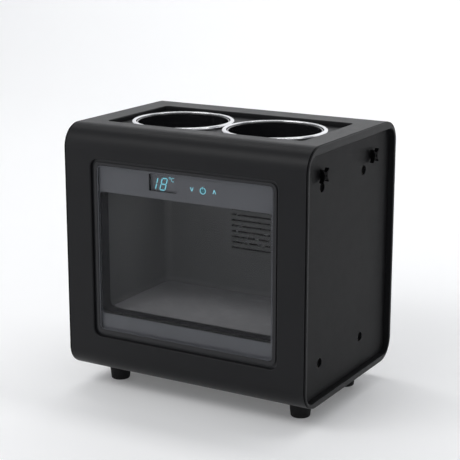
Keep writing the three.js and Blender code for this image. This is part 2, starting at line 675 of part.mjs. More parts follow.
// Cable bundle along the bottom of the rear compartment, from the inlet to the power board.
function addHarness() {
  const path = new THREE.CatmullRomCurve3([
    [104, 80, 44.5], [92, 80, 34.5], [60, 82, 29.5], [0, 83, 28.5], [-60, 84, 30.5],
    [-100, 86, 42.5], [-106, 86, 59.5],
  ].map((p) => new THREE.Vector3(...p)));
  const section = new THREE.Shape();
  section.absarc(0, 0, 2.5, 0, 2 * Math.PI, false);
  const geometry = new THREE.ExtrudeGeometry(section, {
    steps: 24, extrudePath: path, bevelEnabled: false, curveSegments: 4,
  });
  add('wiring_harness', geometry, MATERIAL.rubber());
}

// ---------------------------------------------------------------- feet

// A tapered rubber foot with a collar at its top. Its screw sits deep in a pocket and goes up
// through the shell's bottom wall.
function addFeet() {
  const low = -FOOT_HEIGHT;
  const f = FOOT;
  const solid = turned([
    [0, low], [f.bottom - 2, low], [f.bottom, low + 2],
    [f.top, -3.5], [f.collar, -3], [f.collar, -GAP], [0, -GAP],
  ], FOOT_ROUND);
  const pocket = rod(5, low - 1, low + f.pocket, 12);
  const bore = rod(SCREW_SHAFT + GAP, low, 1, 12);
  const foot = cut(solid, pocket, bore);
  const head = low + f.pocket - GAP;
  const screw = turned([
    [0, head - 2.5], [3.2, head - 2.5], [4, head - 1.6], [4, head], [SCREW_SHAFT, head],
    [SCREW_SHAFT, 10], [SCREW_SHAFT - 0.6, 11], [0, 11],
  ], 12);
  for (const [sx, sy, word] of footPlaces) {
    const place = (geometry) => geometry.clone().translate(sx * f.x, sy * f.y, 0);
    add(`foot_${word}`, place(foot), MATERIAL.rubber());
    add(`foot_screw_${word}`, place(screw), MATERIAL.steel());
  }
}

addShell();
addSides();
addTop();
addWindow();
addControls();
addCabin();
addInsulation();
addStack();
addGrille();
addRear();
addPowerBoard();
addInlet();
addHarness();
addFeet();

export default cooler;
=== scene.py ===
"""Looks for the two-bottle wine cooler. Modelling calls take millimetres in the part's frame;
put() and block() turn them into metres."""

import math

import bmesh
import bpy
from mathutils import Matrix, Vector


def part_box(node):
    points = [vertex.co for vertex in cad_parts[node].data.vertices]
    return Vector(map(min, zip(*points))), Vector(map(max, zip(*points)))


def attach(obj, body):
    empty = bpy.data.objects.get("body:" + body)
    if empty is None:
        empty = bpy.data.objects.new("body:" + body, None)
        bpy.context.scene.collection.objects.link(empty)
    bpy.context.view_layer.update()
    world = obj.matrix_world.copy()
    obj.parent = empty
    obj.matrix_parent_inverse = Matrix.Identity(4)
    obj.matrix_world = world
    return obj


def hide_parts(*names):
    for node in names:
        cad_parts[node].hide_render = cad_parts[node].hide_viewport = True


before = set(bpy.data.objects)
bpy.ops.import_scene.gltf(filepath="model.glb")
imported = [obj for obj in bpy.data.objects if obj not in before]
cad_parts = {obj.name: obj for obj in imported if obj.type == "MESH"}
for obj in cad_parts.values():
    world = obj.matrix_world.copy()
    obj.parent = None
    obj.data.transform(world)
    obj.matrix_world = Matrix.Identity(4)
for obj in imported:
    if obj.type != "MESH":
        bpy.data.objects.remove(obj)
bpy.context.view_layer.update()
CASE = "case"
MM = 0.001

# -------- camera

CAMERA = {"azimuth": 30.288, "elevation": 14.232, "place": (0.7534, -1.2942, 0.5599), "lens": 107.21}


def make_camera():
    data = bpy.data.cameras.new("camera")
    data.lens = CAMERA["lens"]
    data.sensor_width = 36
    data.clip_start, data.clip_end = 0.05, 50
    camera = bpy.data.objects.new("camera", data)
    camera.location = CAMERA["place"]
    tilt = math.radians(90 - CAMERA["elevation"])
    camera.rotation_euler = (tilt, 0, math.radians(CAMERA["azimuth"]))
    bpy.context.scene.collection.objects.link(camera)
    bpy.context.scene.camera = camera


make_camera()

# -------- places taken from the frame


def box_mm(node):
    low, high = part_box(node)
    return low / MM, high / MM


def node_centre(node):
    low, high = box_mm(node)
    return (low + high) / 2


def span(node):
    """A node's low corner, high corner and middle."""
    return *box_mm(node), node_centre(node)


SHELL_LOW, SHELL_HIGH = box_mm("wrap_shell")
PANE_LOW, PANE_HIGH = box_mm("front_glass")
DECK_LOW, DECK_HIGH = box_mm("top_deck")
BASE = SHELL_LOW.z  # underside of the shell
FRONT, BACK, TOP = SHELL_LOW.y, SHELL_HIGH.y, SHELL_HIGH.z

SIDES = ((-1, "left"), (1, "right"))
SHELL_CORNERS = (26, 24, 26, 24)  # back bottom, back top, front top, front bottom
WALL = {"front": 4, "back": 4, "top": 8.5, "bottom": 6.5}
MOUTH_CORNER = 14
SIDE_RECESS = 6.5
PANE_CORNER = 5
# The opening in the shell and the trim's outer edge. Each gap is from the pane's side.
OPENING = {"gap": 6.6, "low": BASE + 42.8, "high": BASE + 244.3, "corner": 9}
TRIM = {"gap": 4.4, "low": BASE + 45.3, "high": BASE + 241.3, "corner": 8}
VIEW = {"half": 108, "low": BASE + 71.5, "high": BASE + 208.5, "corner": 9}
PRINT_VIEW = {"half": 107.8, "low": BASE + 69, "high": BASE + 208, "corner": 4}
WELL_X, WELL_Y = 58.5, -8.0
WELL = {"ring": 52.8, "deck": 52.7, "sleeve": 52.4, "liner": 54.3}  # inner radii, and the sleeve's outer one
TOUCH_Z = BASE + 223.3  # height of the touch legends
CABIN_WALL = 2
FOOT_BOLT_HOLE = 2.3

# -------- mesh helpers


def new_object(name, bm):
    bmesh.ops.remove_doubles(bm, verts=bm.verts, dist=1e-7)
    bmesh.ops.recalc_face_normals(bm, faces=bm.faces)
    mesh = bpy.data.meshes.new(name)
    bm.to_mesh(mesh)
    bm.free()
    obj = bpy.data.objects.new(name, mesh)
    bpy.context.scene.collection.objects.link(obj)
    return obj


def arc(centre, radius, start, stop, steps):
    """Points of an arc, angles in degrees."""
    turn = [math.radians(start + (stop - start) * i / steps) for i in range(steps + 1)]
    return [(centre[0] + radius * math.cos(a), centre[1] + radius * math.sin(a)) for a in turn]


def round_rect(u0, u1, v0, v1, corner, steps=10):
    """Outline function of a rectangle with round corners: outline(inset) gives its points, shrunk by inset.
    A tuple of corners starts at (u1, v0) and goes round anticlockwise."""
    radii = corner if isinstance(corner, tuple) else (corner,) * 4
    centres = [(u1, v0, -1, 1, -90), (u1, v1, -1, -1, 0), (u0, v1, 1, -1, 90), (u0, v0, 1, 1, 180)]

    def outline(inset=0.0):
        points = []
        for (u, v, su, sv, start), radius in zip(centres, radii):
            centre = (u + su * radius, v + sv * radius)
            points += arc(centre, max(radius - inset, 0.05), start, start + 90, steps)
        return points

    return outline


def front_rect(low, high, corner, steps, grow=0.0):
    """Outline function of a box seen from the front, larger by grow all round."""
    return round_rect(low.x - grow, high.x + grow, low.z - grow, high.z + grow, corner, steps)


def put(axis, w, points):
    """3-D points in metres, at w along axis. The flat points use the other two axes, in XYZ order."""
    order = {"x": lambda u, v: (w, u, v), "y": lambda u, v: (u, w, v), "z": lambda u, v: (u, v, w)}[axis]
    return [Vector(order(u, v)) * MM for u, v in points]


def loft(name, rings, closed=False):
    """A skin of quads over rings of points. An open row of rings gets a cap at each end."""
    bm = bmesh.new()
    rows = [[bm.verts.new(p) for p in ring] for ring in rings]
    pairs = list(zip(rows, rows[1:])) + ([(rows[-1], rows[0])] if closed else [])
    for a, b in pairs:
        for i in range(len(a)):
            j = (i + 1) % len(a)
            bm.faces.new((a[i], a[j], b[j], b[i]))
    if not closed:
        bm.faces.new(rows[0])
        bm.faces.new(rows[-1])
    return new_object(name, bm)


def prism(name, points, y0, y1):
    """Flat points of the XZ plane, as a straight plate from y0 to y1."""
    return loft(name, [put("y", y0, points), put("y", y1, points)])


def rounding(edge, steps=4):
    """(inset, depth) of a quarter-round edge, from the face to the wall."""
    turn = [math.radians(90 * i / steps) for i in range(steps + 1)]
    return [(edge * (1 - math.sin(a)), edge * (1 - math.cos(a))) for a in turn]


def plate_rings(outline, axis, w0, w1, edge0, edge1=None, steps=4):
    """Rings of a plate whose rims are rounded by edge0 at w0 and edge1 at w1."""
    edge1 = edge0 if edge1 is None else edge1
    low = [put(axis, w0 + d, outline(i)) for i, d in rounding(edge0, steps)]
    high = [put(axis, w1 - d, outline(i)) for i, d in reversed(rounding(edge1, steps))]
    return low + high


def plate(name, outline, axis, w0, w1, edge0=0.4, edge1=None, steps=4):
    return loft(name, plate_rings(outline, axis, w0, w1, edge0, edge1, steps))


def frame_piece(name, outline, axis, profile):
    """A closed profile of (inset, place along axis) points carried round an outline."""
    return loft(name, [put(axis, w, outline(inset)) for inset, w in profile], closed=True)


def lathe(name, profile, axis="z", at=(0, 0, 0), sides=64):
    """A piece turned about axis through at. profile holds (radius, place along axis) points.
    It starts and ends on the axis, or closes on itself."""
    bm = bmesh.new()
    solid = profile[0][0] == 0 and profile[-1][0] == 0
    body = profile[1:-1] if solid else profile
    rows = []
    for radius, along in body:
        points = arc((0, 0), radius, 0, 360, sides)[:-1]
        rows.append([bm.verts.new(p) for p in put(axis, along, points)])
    pairs = list(zip(rows, rows[1:])) + ([] if solid else [(rows[-1], rows[0])])
    for a, b in pairs:
        for i in range(sides):
            j = (i + 1) % sides
            bm.faces.new((a[i], a[j], b[j], b[i]))
    if solid:
        for row, (_, along) in ((rows[0], profile[0]), (rows[-1], profile[-1])):
            tip = bm.verts.new(put(axis, along, [(0, 0)])[0])
            for i in range(sides):
                bm.faces.new((row[i], row[(i + 1) % sides], tip))
    bmesh.ops.translate(bm, verts=bm.verts, vec=Vector(at) * MM)
    return new_object(name, bm)


def rod(name, radius, start, end, axis, at, sides=24):
    """A plain cylinder from start to end along axis."""
    return lathe(name, [(0, start), (radius, start), (radius, end), (0, end)], axis, at, sides)


def block(name, low, high, edge=0.0, steps=3):
    """A box with rounded edges."""
    bm = bmesh.new()
    low, high = Vector(low) * MM, Vector(high) * MM
    bmesh.ops.create_cube(bm, size=1.0)
    bmesh.ops.scale(bm, vec=high - low, verts=bm.verts)
    bmesh.ops.translate(bm, vec=(low + high) / 2, verts=bm.verts)
    if edge:
        bmesh.ops.bevel(bm, geom=bm.edges[:], offset=edge * MM, segments=steps, profile=0.5, affect="EDGES")
    return new_object(name, bm)


def merge(name, pieces):
    """Several objects as one, with their meshes side by side."""
    bm = bmesh.new()
    for piece in pieces:
        copy = piece.data.copy()
        copy.transform(piece.matrix_world)
        bm.from_mesh(copy)
        bpy.data.meshes.remove(copy)
        discard(piece)
    return new_object(name, bm)


def discard(obj):
    mesh = obj.data
    bpy.data.objects.remove(obj)
    if mesh.users == 0:
        bpy.data.meshes.remove(mesh)


def boolean(obj, tools, operation="DIFFERENCE"):
    """Cuts tools from obj, or joins them to it, and throws the tools away."""
    for tool in tools:
        step = obj.modifiers.new("boolean", "BOOLEAN")
        step.operation, step.solver, step.object = operation, "EXACT", tool
    bpy.context.view_layer.update()
    made = obj.evaluated_get(bpy.context.evaluated_depsgraph_get())
    mesh = bpy.data.meshes.new_from_object(made)
    obj.modifiers.clear()
    old, obj.data = obj.data, mesh
    bpy.data.meshes.remove(old)
    mesh.name = obj.name
    for tool in tools:
        discard(tool)
    return obj


def cut(obj, *tools):
    return boolean(obj, tools)


def join(obj, *tools):
    return boolean(obj, tools, "UNION")


def flared_cutter(name, outline, axis, face, depth, edge, into=1):
    """A cutter for a hole whose rim is rounded by edge where it meets the face, going into by depth.
    It leaves the face at a slight slope, so no two surfaces lie on each other."""
    slope, reach, count = math.radians(8), 3.0, 6
    start = (edge * (1 - math.sin(slope)), edge * (1 - math.cos(slope)))
    steps = [(start[0] + reach * math.cos(slope), start[1] - reach * math.sin(slope))]
    for i in range(count + 1):
        a = slope + (math.pi / 2 - slope) * i / count
        steps.append((edge * (1 - math.sin(a)), edge * (1 - math.cos(a))))
    steps.append((0.0, depth))
    return loft(name, [put(axis, face + into * d, outline(-grow)) for grow, d in steps])


def smooth(obj, angle=32):
    mesh = obj.data
    mesh.polygons.foreach_set("use_smooth", [True] * len(mesh.polygons))
    mesh.set_sharp_from_angle(angle=math.radians(angle))
    weigh = obj.modifiers.new("weighted_normals", "WEIGHTED_NORMAL")
    weigh.keep_sharp = True
    weigh.weight = 80


def show(obj, material, body=CASE, stands_for=(), angle=32):
    """Finishes a new piece: its shading, its material, its body and the CAD nodes that it stands for."""
    smooth(obj, angle)
    obj.data.materials.clear()
    obj.data.materials.append(material)
    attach(obj, body)
    if stands_for:
        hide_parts(*([stands_for] if isinstance(stands_for, str) else stands_for))


# -------- materials


class Nodes:
    """A small builder for one Principled material."""

    def __init__(self, name, color, roughness, metallic=0.0, specular=0.5):
        self.material = bpy.data.materials.new(name)
        self.material.use_nodes = True
        self.tree = self.material.node_tree
        self.shader = self.tree.nodes["Principled BSDF"]
        self.set("Base Color", (*color, 1.0))
        self.set("Roughness", roughness)
        self.set("Metallic", metallic)
        self.set("Specular IOR Level", specular)
        self.where = self.node("ShaderNodeTexCoord").outputs["Object"]
        self.height = None

    def set(self, socket, value):
        self.shader.inputs[socket].default_value = value

    def node(self, kind, **inputs):
        """A new node. An input's name has _ for its spaces."""
        made = self.tree.nodes.new(kind)
        for name, value in inputs.items():
            made.inputs[name.replace("_", " ")].default_value = value
        return made

    def link(self, out, into):
        self.tree.links.new(out, into)

    def stretched(self, scale):
        """Object coordinates scaled by scale along each axis."""
        mapping = self.node("ShaderNodeMapping", Scale=scale)
        self.link(self.where, mapping.inputs["Vector"])
        return mapping.outputs["Vector"]

    def noise(self, scale, detail=3.0, rough=0.5, vector=None, distortion=0.0):
        made = self.node("ShaderNodeTexNoise", Scale=scale, Detail=detail, Roughness=rough)
        made.inputs["Distortion"].default_value = distortion
        self.link(vector or self.where, made.inputs["Vector"])
        return made.outputs["Fac"]

    def cells(self, scale):
        made = self.node("ShaderNodeTexVoronoi", Scale=scale)
        self.link(self.where, made.inputs["Vector"])
        return made.outputs["Distance"]

    def ramp(self, value, low, high, from_low=0.35, from_high=0.65):
        """value mapped to the range from low to high, clamped."""
        made = self.node("ShaderNodeMapRange", From_Min=from_low, From_Max=from_high, To_Min=low, To_Max=high)
        self.link(value, made.inputs["Value"])
        return made.outputs["Result"]

    def math(self, operation, a, b):
        made = self.node("ShaderNodeMath")
        made.operation = operation
        for socket, value in zip(made.inputs, (a, b)):
            if isinstance(value, (int, float)):
                socket.default_value = value
            else:
                self.link(value, socket)
        return made.outputs["Value"]

    def blend(self, share, first, second):
        """Mixes two colours, each a tuple or a socket."""
        made = self.node("ShaderNodeMix")
        made.data_type = "RGBA"
        self.link(share, made.inputs["Factor"])
        for socket, value in ((made.inputs[6], first), (made.inputs[7], second)):
            if isinstance(value, tuple):
                socket.default_value = (*value, 1.0)
            else:
                self.link(value, socket)
        return made.outputs[2]

    def color(self, socket):
        self.link(socket, self.shader.inputs["Base Color"])

    def shades(self, share, color, first, second):
        """Colours the piece between two shades of one colour."""
        self.color(self.blend(share, shade(color, first), shade(color, second)))

    def roughness(self, socket):
        self.link(socket, self.shader.inputs["Roughness"])

    def bump(self, height, strength, distance):
        """Adds a bump. Each one is laid over the last."""
        made = self.node("ShaderNodeBump", Strength=strength, Distance=distance * MM)
        self.link(height, made.inputs["Height"])
        if self.height is not None:
            self.link(self.height, made.inputs["Normal"])
        self.height = made.outputs["Normal"]
        self.link(self.height, self.shader.inputs["Normal"])


def shade(color, factor):
    return tuple(min(1.0, c * factor) for c in color)


def moulded(name, color, roughness, grain=1300, depth=0.05, specular=0.35, spread=0.12):
    """Moulded plastic with a fine spark-eroded grain, faint flow marks and uneven sheen."""
    m = Nodes(name, color, roughness, specular=specular)
    cloud = m.noise(26, 3, 0.55)
    fine = m.noise(grain, 2, 0.6)
    mixed = m.blend(m.ramp(cloud, 0, 1), shade(color, 1 - spread), shade(color, 1 + spread))
    speckle = m.ramp(fine, 0, 0.35, 0.55, 0.8)
    m.color(m.blend(speckle, mixed, shade(color, 1.5)))
    sheen = m.ramp(m.noise(60, 4, 0.6), roughness - 0.012, roughness + 0.012)
    m.roughness(m.math("ADD", sheen, m.ramp(fine, -0.03, 0.03)))
    m.bump(fine, 0.35, depth)
    m.bump(m.cells(grain * 0.55), 0.2, depth * 0.8)
    return m.material


def polished(name, color, roughness=0.08, metallic=0.0, specular=0.5):
    """Smooth gloss plastic or plated metal with fine hairline wear."""
    m = Nodes(name, color, roughness, metallic, specular)
    hair = m.noise(420, 4, 0.7, m.stretched((1.0, 1.0, 8.0)), 0.4)
    m.roughness(m.ramp(hair, roughness, roughness + 0.07, 0.45, 0.75))
    m.shades(m.ramp(m.noise(35, 3), 0, 1), color, 0.94, 1.04)
    m.bump(m.noise(180, 2), 0.03, 0.02)
    return m.material


def brushed(name, color, roughness, stretch=(1.0, 1.0, 40.0)):
    """Bare metal with brushing along one axis."""
    m = Nodes(name, color, roughness, 1.0)
    lines = m.noise(600, 3, 0.6, m.stretched(stretch))
    m.shades(m.ramp(lines, 0, 1), color, 0.82, 1.1)
    m.roughness(m.ramp(lines, roughness - 0.08, roughness + 0.12))
    m.bump(lines, 0.15, 0.03)
    return m.material


def rubbery(name, color, roughness=0.8):
    """Moulded rubber with a dull skin and dust in its pores."""
    m = Nodes(name, color, roughness, specular=0.3)
    pores = m.noise(900, 3, 0.7)
    dust = m.ramp(m.noise(70, 5, 0.7), 0, 0.5, 0.5, 0.8)
    m.color(m.blend(dust, color, shade(color, 1.9)))
    m.roughness(m.ramp(pores, roughness - 0.08, roughness + 0.08))
    m.bump(pores, 0.4, 0.08)
    return m.material


def beads(name, color):
    """Moulded bead foam: packed cells a few millimetres across."""
    m = Nodes(name, color, 0.85, specular=0.2)
    edges = m.cells(260)
    m.shades(m.ramp(edges, 0, 1, 0.2, 0.75), color, 1.05, 0.82)
    m.bump(edges, 0.6, 0.5)
    m.bump(m.noise(1500, 2), 0.2, 0.05)
    return m.material


def circuit(name):
    """Green solder mask over copper tracks, with bright pads."""
    mask, copper, tin = (0.008, 0.075, 0.03), (0.02, 0.16, 0.06), (0.55, 0.55, 0.5)
    m = Nodes(name, mask, 0.35)
    tracks = m.node("ShaderNodeTexBrick", Scale=120, Mortar_Size=0.06)
    m.link(m.stretched((1.0, 1.0, 1.7)), tracks.inputs["Vector"])
    pads = m.ramp(m.cells(320), 1, 0, 0.16, 0.2)
    tracked = m.blend(tracks.outputs["Fac"], mask, copper)
    m.color(m.blend(pads, tracked, tin))
    m.roughness(m.ramp(m.noise(90, 3), 0.28, 0.42))
    m.bump(tracks.outputs["Fac"], 0.2, 0.05)
    return m.material


def powder_white(name, color):
    """Unglazed ceramic or an opal diffuser."""
    m = Nodes(name, color, 0.55)
    m.shades(m.ramp(m.noise(110, 4), 0, 1), color, 0.9, 1.0)
    m.roughness(m.ramp(m.noise(400, 2), 0.45, 0.65))
    m.bump(m.noise(1200, 2), 0.15, 0.03)
    return m.material


def lit_opal(name, color, strength):
    """An opal diffuser lit from behind, its glow faintly cloudy."""
    m = Nodes(name, color, 0.5)
    cloud = m.ramp(m.noise(60, 3), 0, 1)
    m.link(m.blend(cloud, shade(color, 0.85), color), m.shader.inputs["Emission Color"])
    m.set("Emission Strength", strength)
    m.color(m.blend(cloud, shade(color, 0.9), color))
    m.roughness(m.ramp(m.noise(400, 2), 0.45, 0.65))
    m.bump(m.noise(1200, 2), 0.1, 0.02)
    return m.material


def pane_glass(name, color, alpha, roughness=0.04):
    """Tinted glass, as a see-through coat over what lies behind it, with faint smears."""
    m = Nodes(name, color, roughness, specular=0.5)
    m.set("Alpha", alpha)
    smear = m.noise(9, 5, 0.65, m.stretched((1.0, 1.0, 2.5)), 0.6)
    m.roughness(m.ramp(smear, roughness, roughness + 0.08, 0.4, 0.7))
    m.shades(m.ramp(m.noise(14, 2), 0, 1), color, 0.92, 1.08)
    return m.material


def screen_print(name, color):
    """Enamel printed on the back of the pane: an even dot pattern, satin through the glass."""
    m = Nodes(name, color, 0.32)
    dots = m.cells(1700)
    m.shades(m.ramp(dots, 0, 1, 0.1, 0.7), color, 1.05, 0.95)
    m.roughness(m.ramp(m.noise(40, 3), 0.28, 0.38))
    m.bump(dots, 0.05, 0.01)
    return m.material


def glow(name, color, strength):
    """A lit segment or legend, its glow faintly uneven."""
    m = Nodes(name, shade(color, 0.4), 0.4)
    flicker = m.ramp(m.noise(700, 2), 0.85, 1.1)
    m.link(m.blend(flicker, shade(color, 0.7), color), m.shader.inputs["Emission Color"])
    m.set("Emission Strength", strength)
    m.roughness(m.ramp(m.noise(300, 2), 0.35, 0.5))
    return m.material


SHELL_BLACK = (0.0082, 0.0083, 0.0092)
MAT = {
    "shell": moulded("shell_black", SHELL_BLACK, 0.42, 1500, 0.03, 0.16, 0.04),
    # The side panels and rear cover take the shell's black at 0.58 with less specular: painted shade, a
    # darker copy of the shell's plastic that offsets the light falling on the sides.
    "panel": moulded("panel_black_painted_shade", shade(SHELL_BLACK, 0.58), 0.5, 1200, 0.04, 0.1, 0.04),
    "deck": moulded("deck_black", shade(SHELL_BLACK, 1.05), 0.48, 1100, 0.04, 0.2, 0.05),
    "trim": moulded("trim_grey", (0.011, 0.0112, 0.013), 0.4, 1800, 0.02, 0.3, 0.04),
    "reveal": moulded("reveal_black", (0.011, 0.011, 0.0135), 0.55, 1600, 0.002, 0.2, 0.05),
    "liner": moulded("liner_grey", (0.13, 0.131, 0.135), 0.6, 900, 0.003, 0.3, 0.03),
    "fan": moulded("fan_black", (0.012, 0.012, 0.0125), 0.55, 1600, 0.04, 0.15),
    "chrome": polished("ring_chrome", (0.7, 0.7, 0.715), 0.14, 1.0),
    "gloss": polished("collar_gloss", (0.008, 0.008, 0.009), 0.12, 0.0, 0.55),
    "knob": moulded("knob_black", (0.0012, 0.0012, 0.0014), 0.7, 1500, 0.04, 0.05),
    "aluminium": brushed("sink_aluminium", (0.72, 0.73, 0.74), 0.34),
    "steel": brushed("screw_steel", (0.62, 0.63, 0.64), 0.3, (20.0, 20.0, 1.0)),
    "black_steel": moulded("screw_black", (0.0008, 0.0008, 0.0009), 0.7, 1500, 0.04, 0.04),
    "rubber": rubbery("foot_rubber", (0.003, 0.003, 0.0034)),
    "mat": rubbery("mat_rubber", (0.24, 0.24, 0.25), 0.7),
    "cable": rubbery("cable_sleeve", (0.012, 0.012, 0.012), 0.6),
    "foam": beads("bead_foam", (0.62, 0.58, 0.5)),
    "board": circuit("circuit_board"),
    "ceramic": powder_white("module_ceramic", (0.8, 0.79, 0.75)),
    "lamp": lit_opal("lamp_opal", (0.85, 0.87, 0.9), 3.5),
    "pane": pane_glass("pane_glass", (0.03, 0.031, 0.034), 0.1),
    "rear_pane": pane_glass("rear_pane_glass", (0.03, 0.031, 0.033), 0.06),
    "edge": moulded("ground_edge", (0.066, 0.068, 0.078), 0.5, 1600, 0.02, 0.3, 0.04),
    "print": screen_print("pane_print", (0.08, 0.083, 0.095)),
    "face": screen_print("display_face", (0.095, 0.098, 0.112)),
    "screen": polished("display_window", (0.006, 0.006, 0.008), 0.2),
    "glow": glow("display_glow", (0.2, 0.56, 0.68), 0.95),
    "halo": glow("display_halo", (0.02, 0.16, 0.2), 0.35),
}

# -------- shell and side panels


def window_outline(half, low, high, corner, steps=12):
    return round_rect(-half, half, low, high, corner, steps)


def opening_outline():
    return window_outline(PANE_HIGH.x + OPENING["gap"], OPENING["low"], OPENING["high"], OPENING["corner"])


def rear_opening(inset=0.0):
    low, high = box_mm("rear_cover")
    grow = 0.3 - inset
    return front_rect(low, high, 6 + grow, 8, grow)


def inlet_opening(grow):
    low, high = box_mm("mains_inlet")
    return front_rect(low, high, 2 + grow, 6, grow)


FEET = [f"{y}_{x}" for y in ("front", "back") for x in ("left", "right")]


# The parting line round each end of the loop: (depth under the outer face, distance from the end).
SEAM = [(0, 2.3), (0.2, 2.15), (1.9, 2.0), (1.9, 1.2), (0.35, 1.05), (0.3, 0.9), (0.45, 0.3), (0.8, 0)]


def make_shell():
    outer = round_rect(FRONT, BACK, BASE, TOP, SHELL_CORNERS, 16)
    front, back, floor, ceiling = (
        FRONT + WALL["front"], BACK - WALL["back"], BASE + WALL["bottom"], TOP - WALL["top"],
    )
    mouth = round_rect(front, back, floor, ceiling, MOUTH_CORNER, 16)
    half = SHELL_HIGH.x
    lip = 0.8
    right = [(outer(inset), half - depth) for inset, depth in SEAM]
    right += [(mouth(-inset), half - depth) for inset, depth in rounding(lip, 4)]
    rings = [put("x", x, points) for points, x in right]
    rings += [put("x", -x, points) for points, x in reversed(right)]
    shell = loft("shell_loop", rings, closed=True)
    window = flared_cutter("window_cutter", opening_outline(), "y", FRONT, 8, 1.6)
    deck = round_rect(DECK_LOW.x - 0.3, DECK_HIGH.x + 0.3, DECK_LOW.y - 0.3, DECK_HIGH.y + 0.3, 5, 10)
    well = flared_cutter("deck_cutter", deck, "z", TOP, 12, 1.1, into=-1)
    rear = flared_cutter("rear_cutter", rear_opening(), "y", BACK, 8, 0.5, into=-1)
    inlet = flared_cutter("inlet_cutter", inlet_opening(0.3), "y", BACK, 8, 0.4, into=-1)
    holes = []
    for foot in FEET:
        middle = node_centre("foot_" + foot)
        holes.append(rod("foot_hole", FOOT_BOLT_HOLE, BASE - 2, BASE + 9, "z", (middle.x, middle.y, 0)))
    cut(shell, window, well, rear, inlet, *holes)
    show(shell, MAT["shell"], stands_for="wrap_shell")


SIDE_SCREW_HOLE, THUMB_SCREW_HOLE = 5.0, 2.7


def make_side_panel(side, word):
    low, high = box_mm(f"side_panel_{word}")
    outline = round_rect(low.y, high.y, low.z, high.z, MOUTH_CORNER - 0.3, 16)
    panel = plate(f"panel_{word}", outline, "x", low.x, high.x, 0.35)
    face = high.x if side > 0 else low.x
    tools = []
    for i in range(1, 5):
        middle = node_centre(f"side_screw_{word}_{i}")
        ring = round_hole(middle.y, middle.z, SIDE_SCREW_HOLE, 32)
        tools.append(flared_cutter("hole", ring, "x", face, 6, 0.5, into=-side))
    for place in ("front", "back"):
        middle = node_centre(f"thumb_screw_{word}_{place}")
        ring = round_hole(middle.y, middle.z, THUMB_SCREW_HOLE, 24)
        tools.append(flared_cutter("hole", ring, "x", face, 6, 0.3, into=-side))
    cut(panel, *tools)
    show(panel, MAT["panel"], stands_for=f"side_panel_{word}")


def round_hole(u, v, radius, sides):
    """Outline function of a circle; a negative inset makes it larger."""

    def outline(inset=0.0):
        return arc((u, v), radius - inset, 0, 360, sides)[:-1]

    return outline


# -------- screws


RECESS = {"width": 0.9, "length": 4.4, "depth": 1.6}


def cross_recess(axis, at, face, into, length):
    """Cutter for a cross-head recess: two tapering bars."""
    width = RECESS["width"] * length / RECESS["length"]
    bars = []
    for along in (0, 1):
        half_u = (length if along else width) / 2
        half_v = (width if along else length) / 2
        u, v = at
        wide = round_rect(u - half_u, u + half_u, v - half_v, v + half_v, 0.3, 3)
        rings = [put(axis, face - into * 0.5, wide()), put(axis, face + into * RECESS["depth"], wide(0.28))]
        bars.append(loft("bar", rings))
    return join(bars[0], bars[1])


def screw_profile(length, head, head_height, shaft, tip=1.0):
    """(radius, distance behind the face) of a screw with a rounded head, and rings for its thread."""
    points = [(0, 0)]
    points += [(head * 0.5 * k / 2, 0.02 * k) for k in (1, 2)]
    points += [(head - 0.5, 0.12), (head - 0.12, 0.35), (head, 0.6)]
    points += [(head, head_height), (shaft, head_height)]
    pitch, crest = 0.9, 0.22
    turns = int((length - head_height - tip - 1) / pitch)
    along = head_height + 0.6
    for _ in range(turns):
        points += [(shaft - crest, along), (shaft, along + pitch * 0.5)]
        along += pitch
    points += [(shaft - crest, along), (shaft * 0.4, length - 0.2), (0, length)]
    return points


def make_screw(name, node, axis, sign, head, head_height, shaft, material, recess=4.4):
    """A cross-head screw where the CAD node is; its head faces sign along axis."""
    low, high, middle = span(node)
    k = "xyz".index(axis)
    face = high[k] if sign > 0 else low[k]
    length = high[k] - low[k]
    profile = [(r, face - sign * d) for r, d in screw_profile(length, head, head_height, shaft)]
    at = list(middle)
    at[k] = 0
    screw = lathe(name, profile, axis, at, 28)
    flat = [middle[i] for i in range(3) if i != k]
    cut(screw, cross_recess(axis, flat, face, -sign, recess))
    show(screw, material, stands_for=node, angle=40)


def make_screws():
    for side, word in SIDES:
        for i in range(1, 5):
            make_screw(
                f"panel_screw_{word}_{i}", f"side_screw_{word}_{i}", "x", side, 4, 1.6, 1.8,
                MAT["black_steel"],
            )
    for i in range(1, 5):
        node = f"rear_cover_screw_{i}"
        make_screw(f"cover_screw_{i}", node, "y", 1, 3.2, 1.2, 1.5, MAT["black_steel"], recess=3.4)
    for foot in FEET:
        make_screw(f"foot_bolt_{foot}", f"foot_screw_{foot}", "z", -1, 4, 2.4, 2, MAT["steel"])


def hollow_square(y, z, half, hollow, blunt, steps=12):
    """Outline function of a square with blunt corners and four hollow sides."""

    def outline(inset=0.0):
        h = half - inset
        edge = h - blunt
        points = []
        for turn in range(4):
            cos, sin = round(math.cos(turn * math.pi / 2)), round(math.sin(turn * math.pi / 2))
            for i in range(steps + 1):
                t = -1 + 2 * i / steps
                u, v = h - hollow * (1 - t * t), t * edge
                points.append((y + u * cos - v * sin, z + u * sin + v * cos))
        return points

    return outline


KNOB = {"half": 7.2, "hollow": 3.5, "blunt": 0.8, "thickness": 4.5}


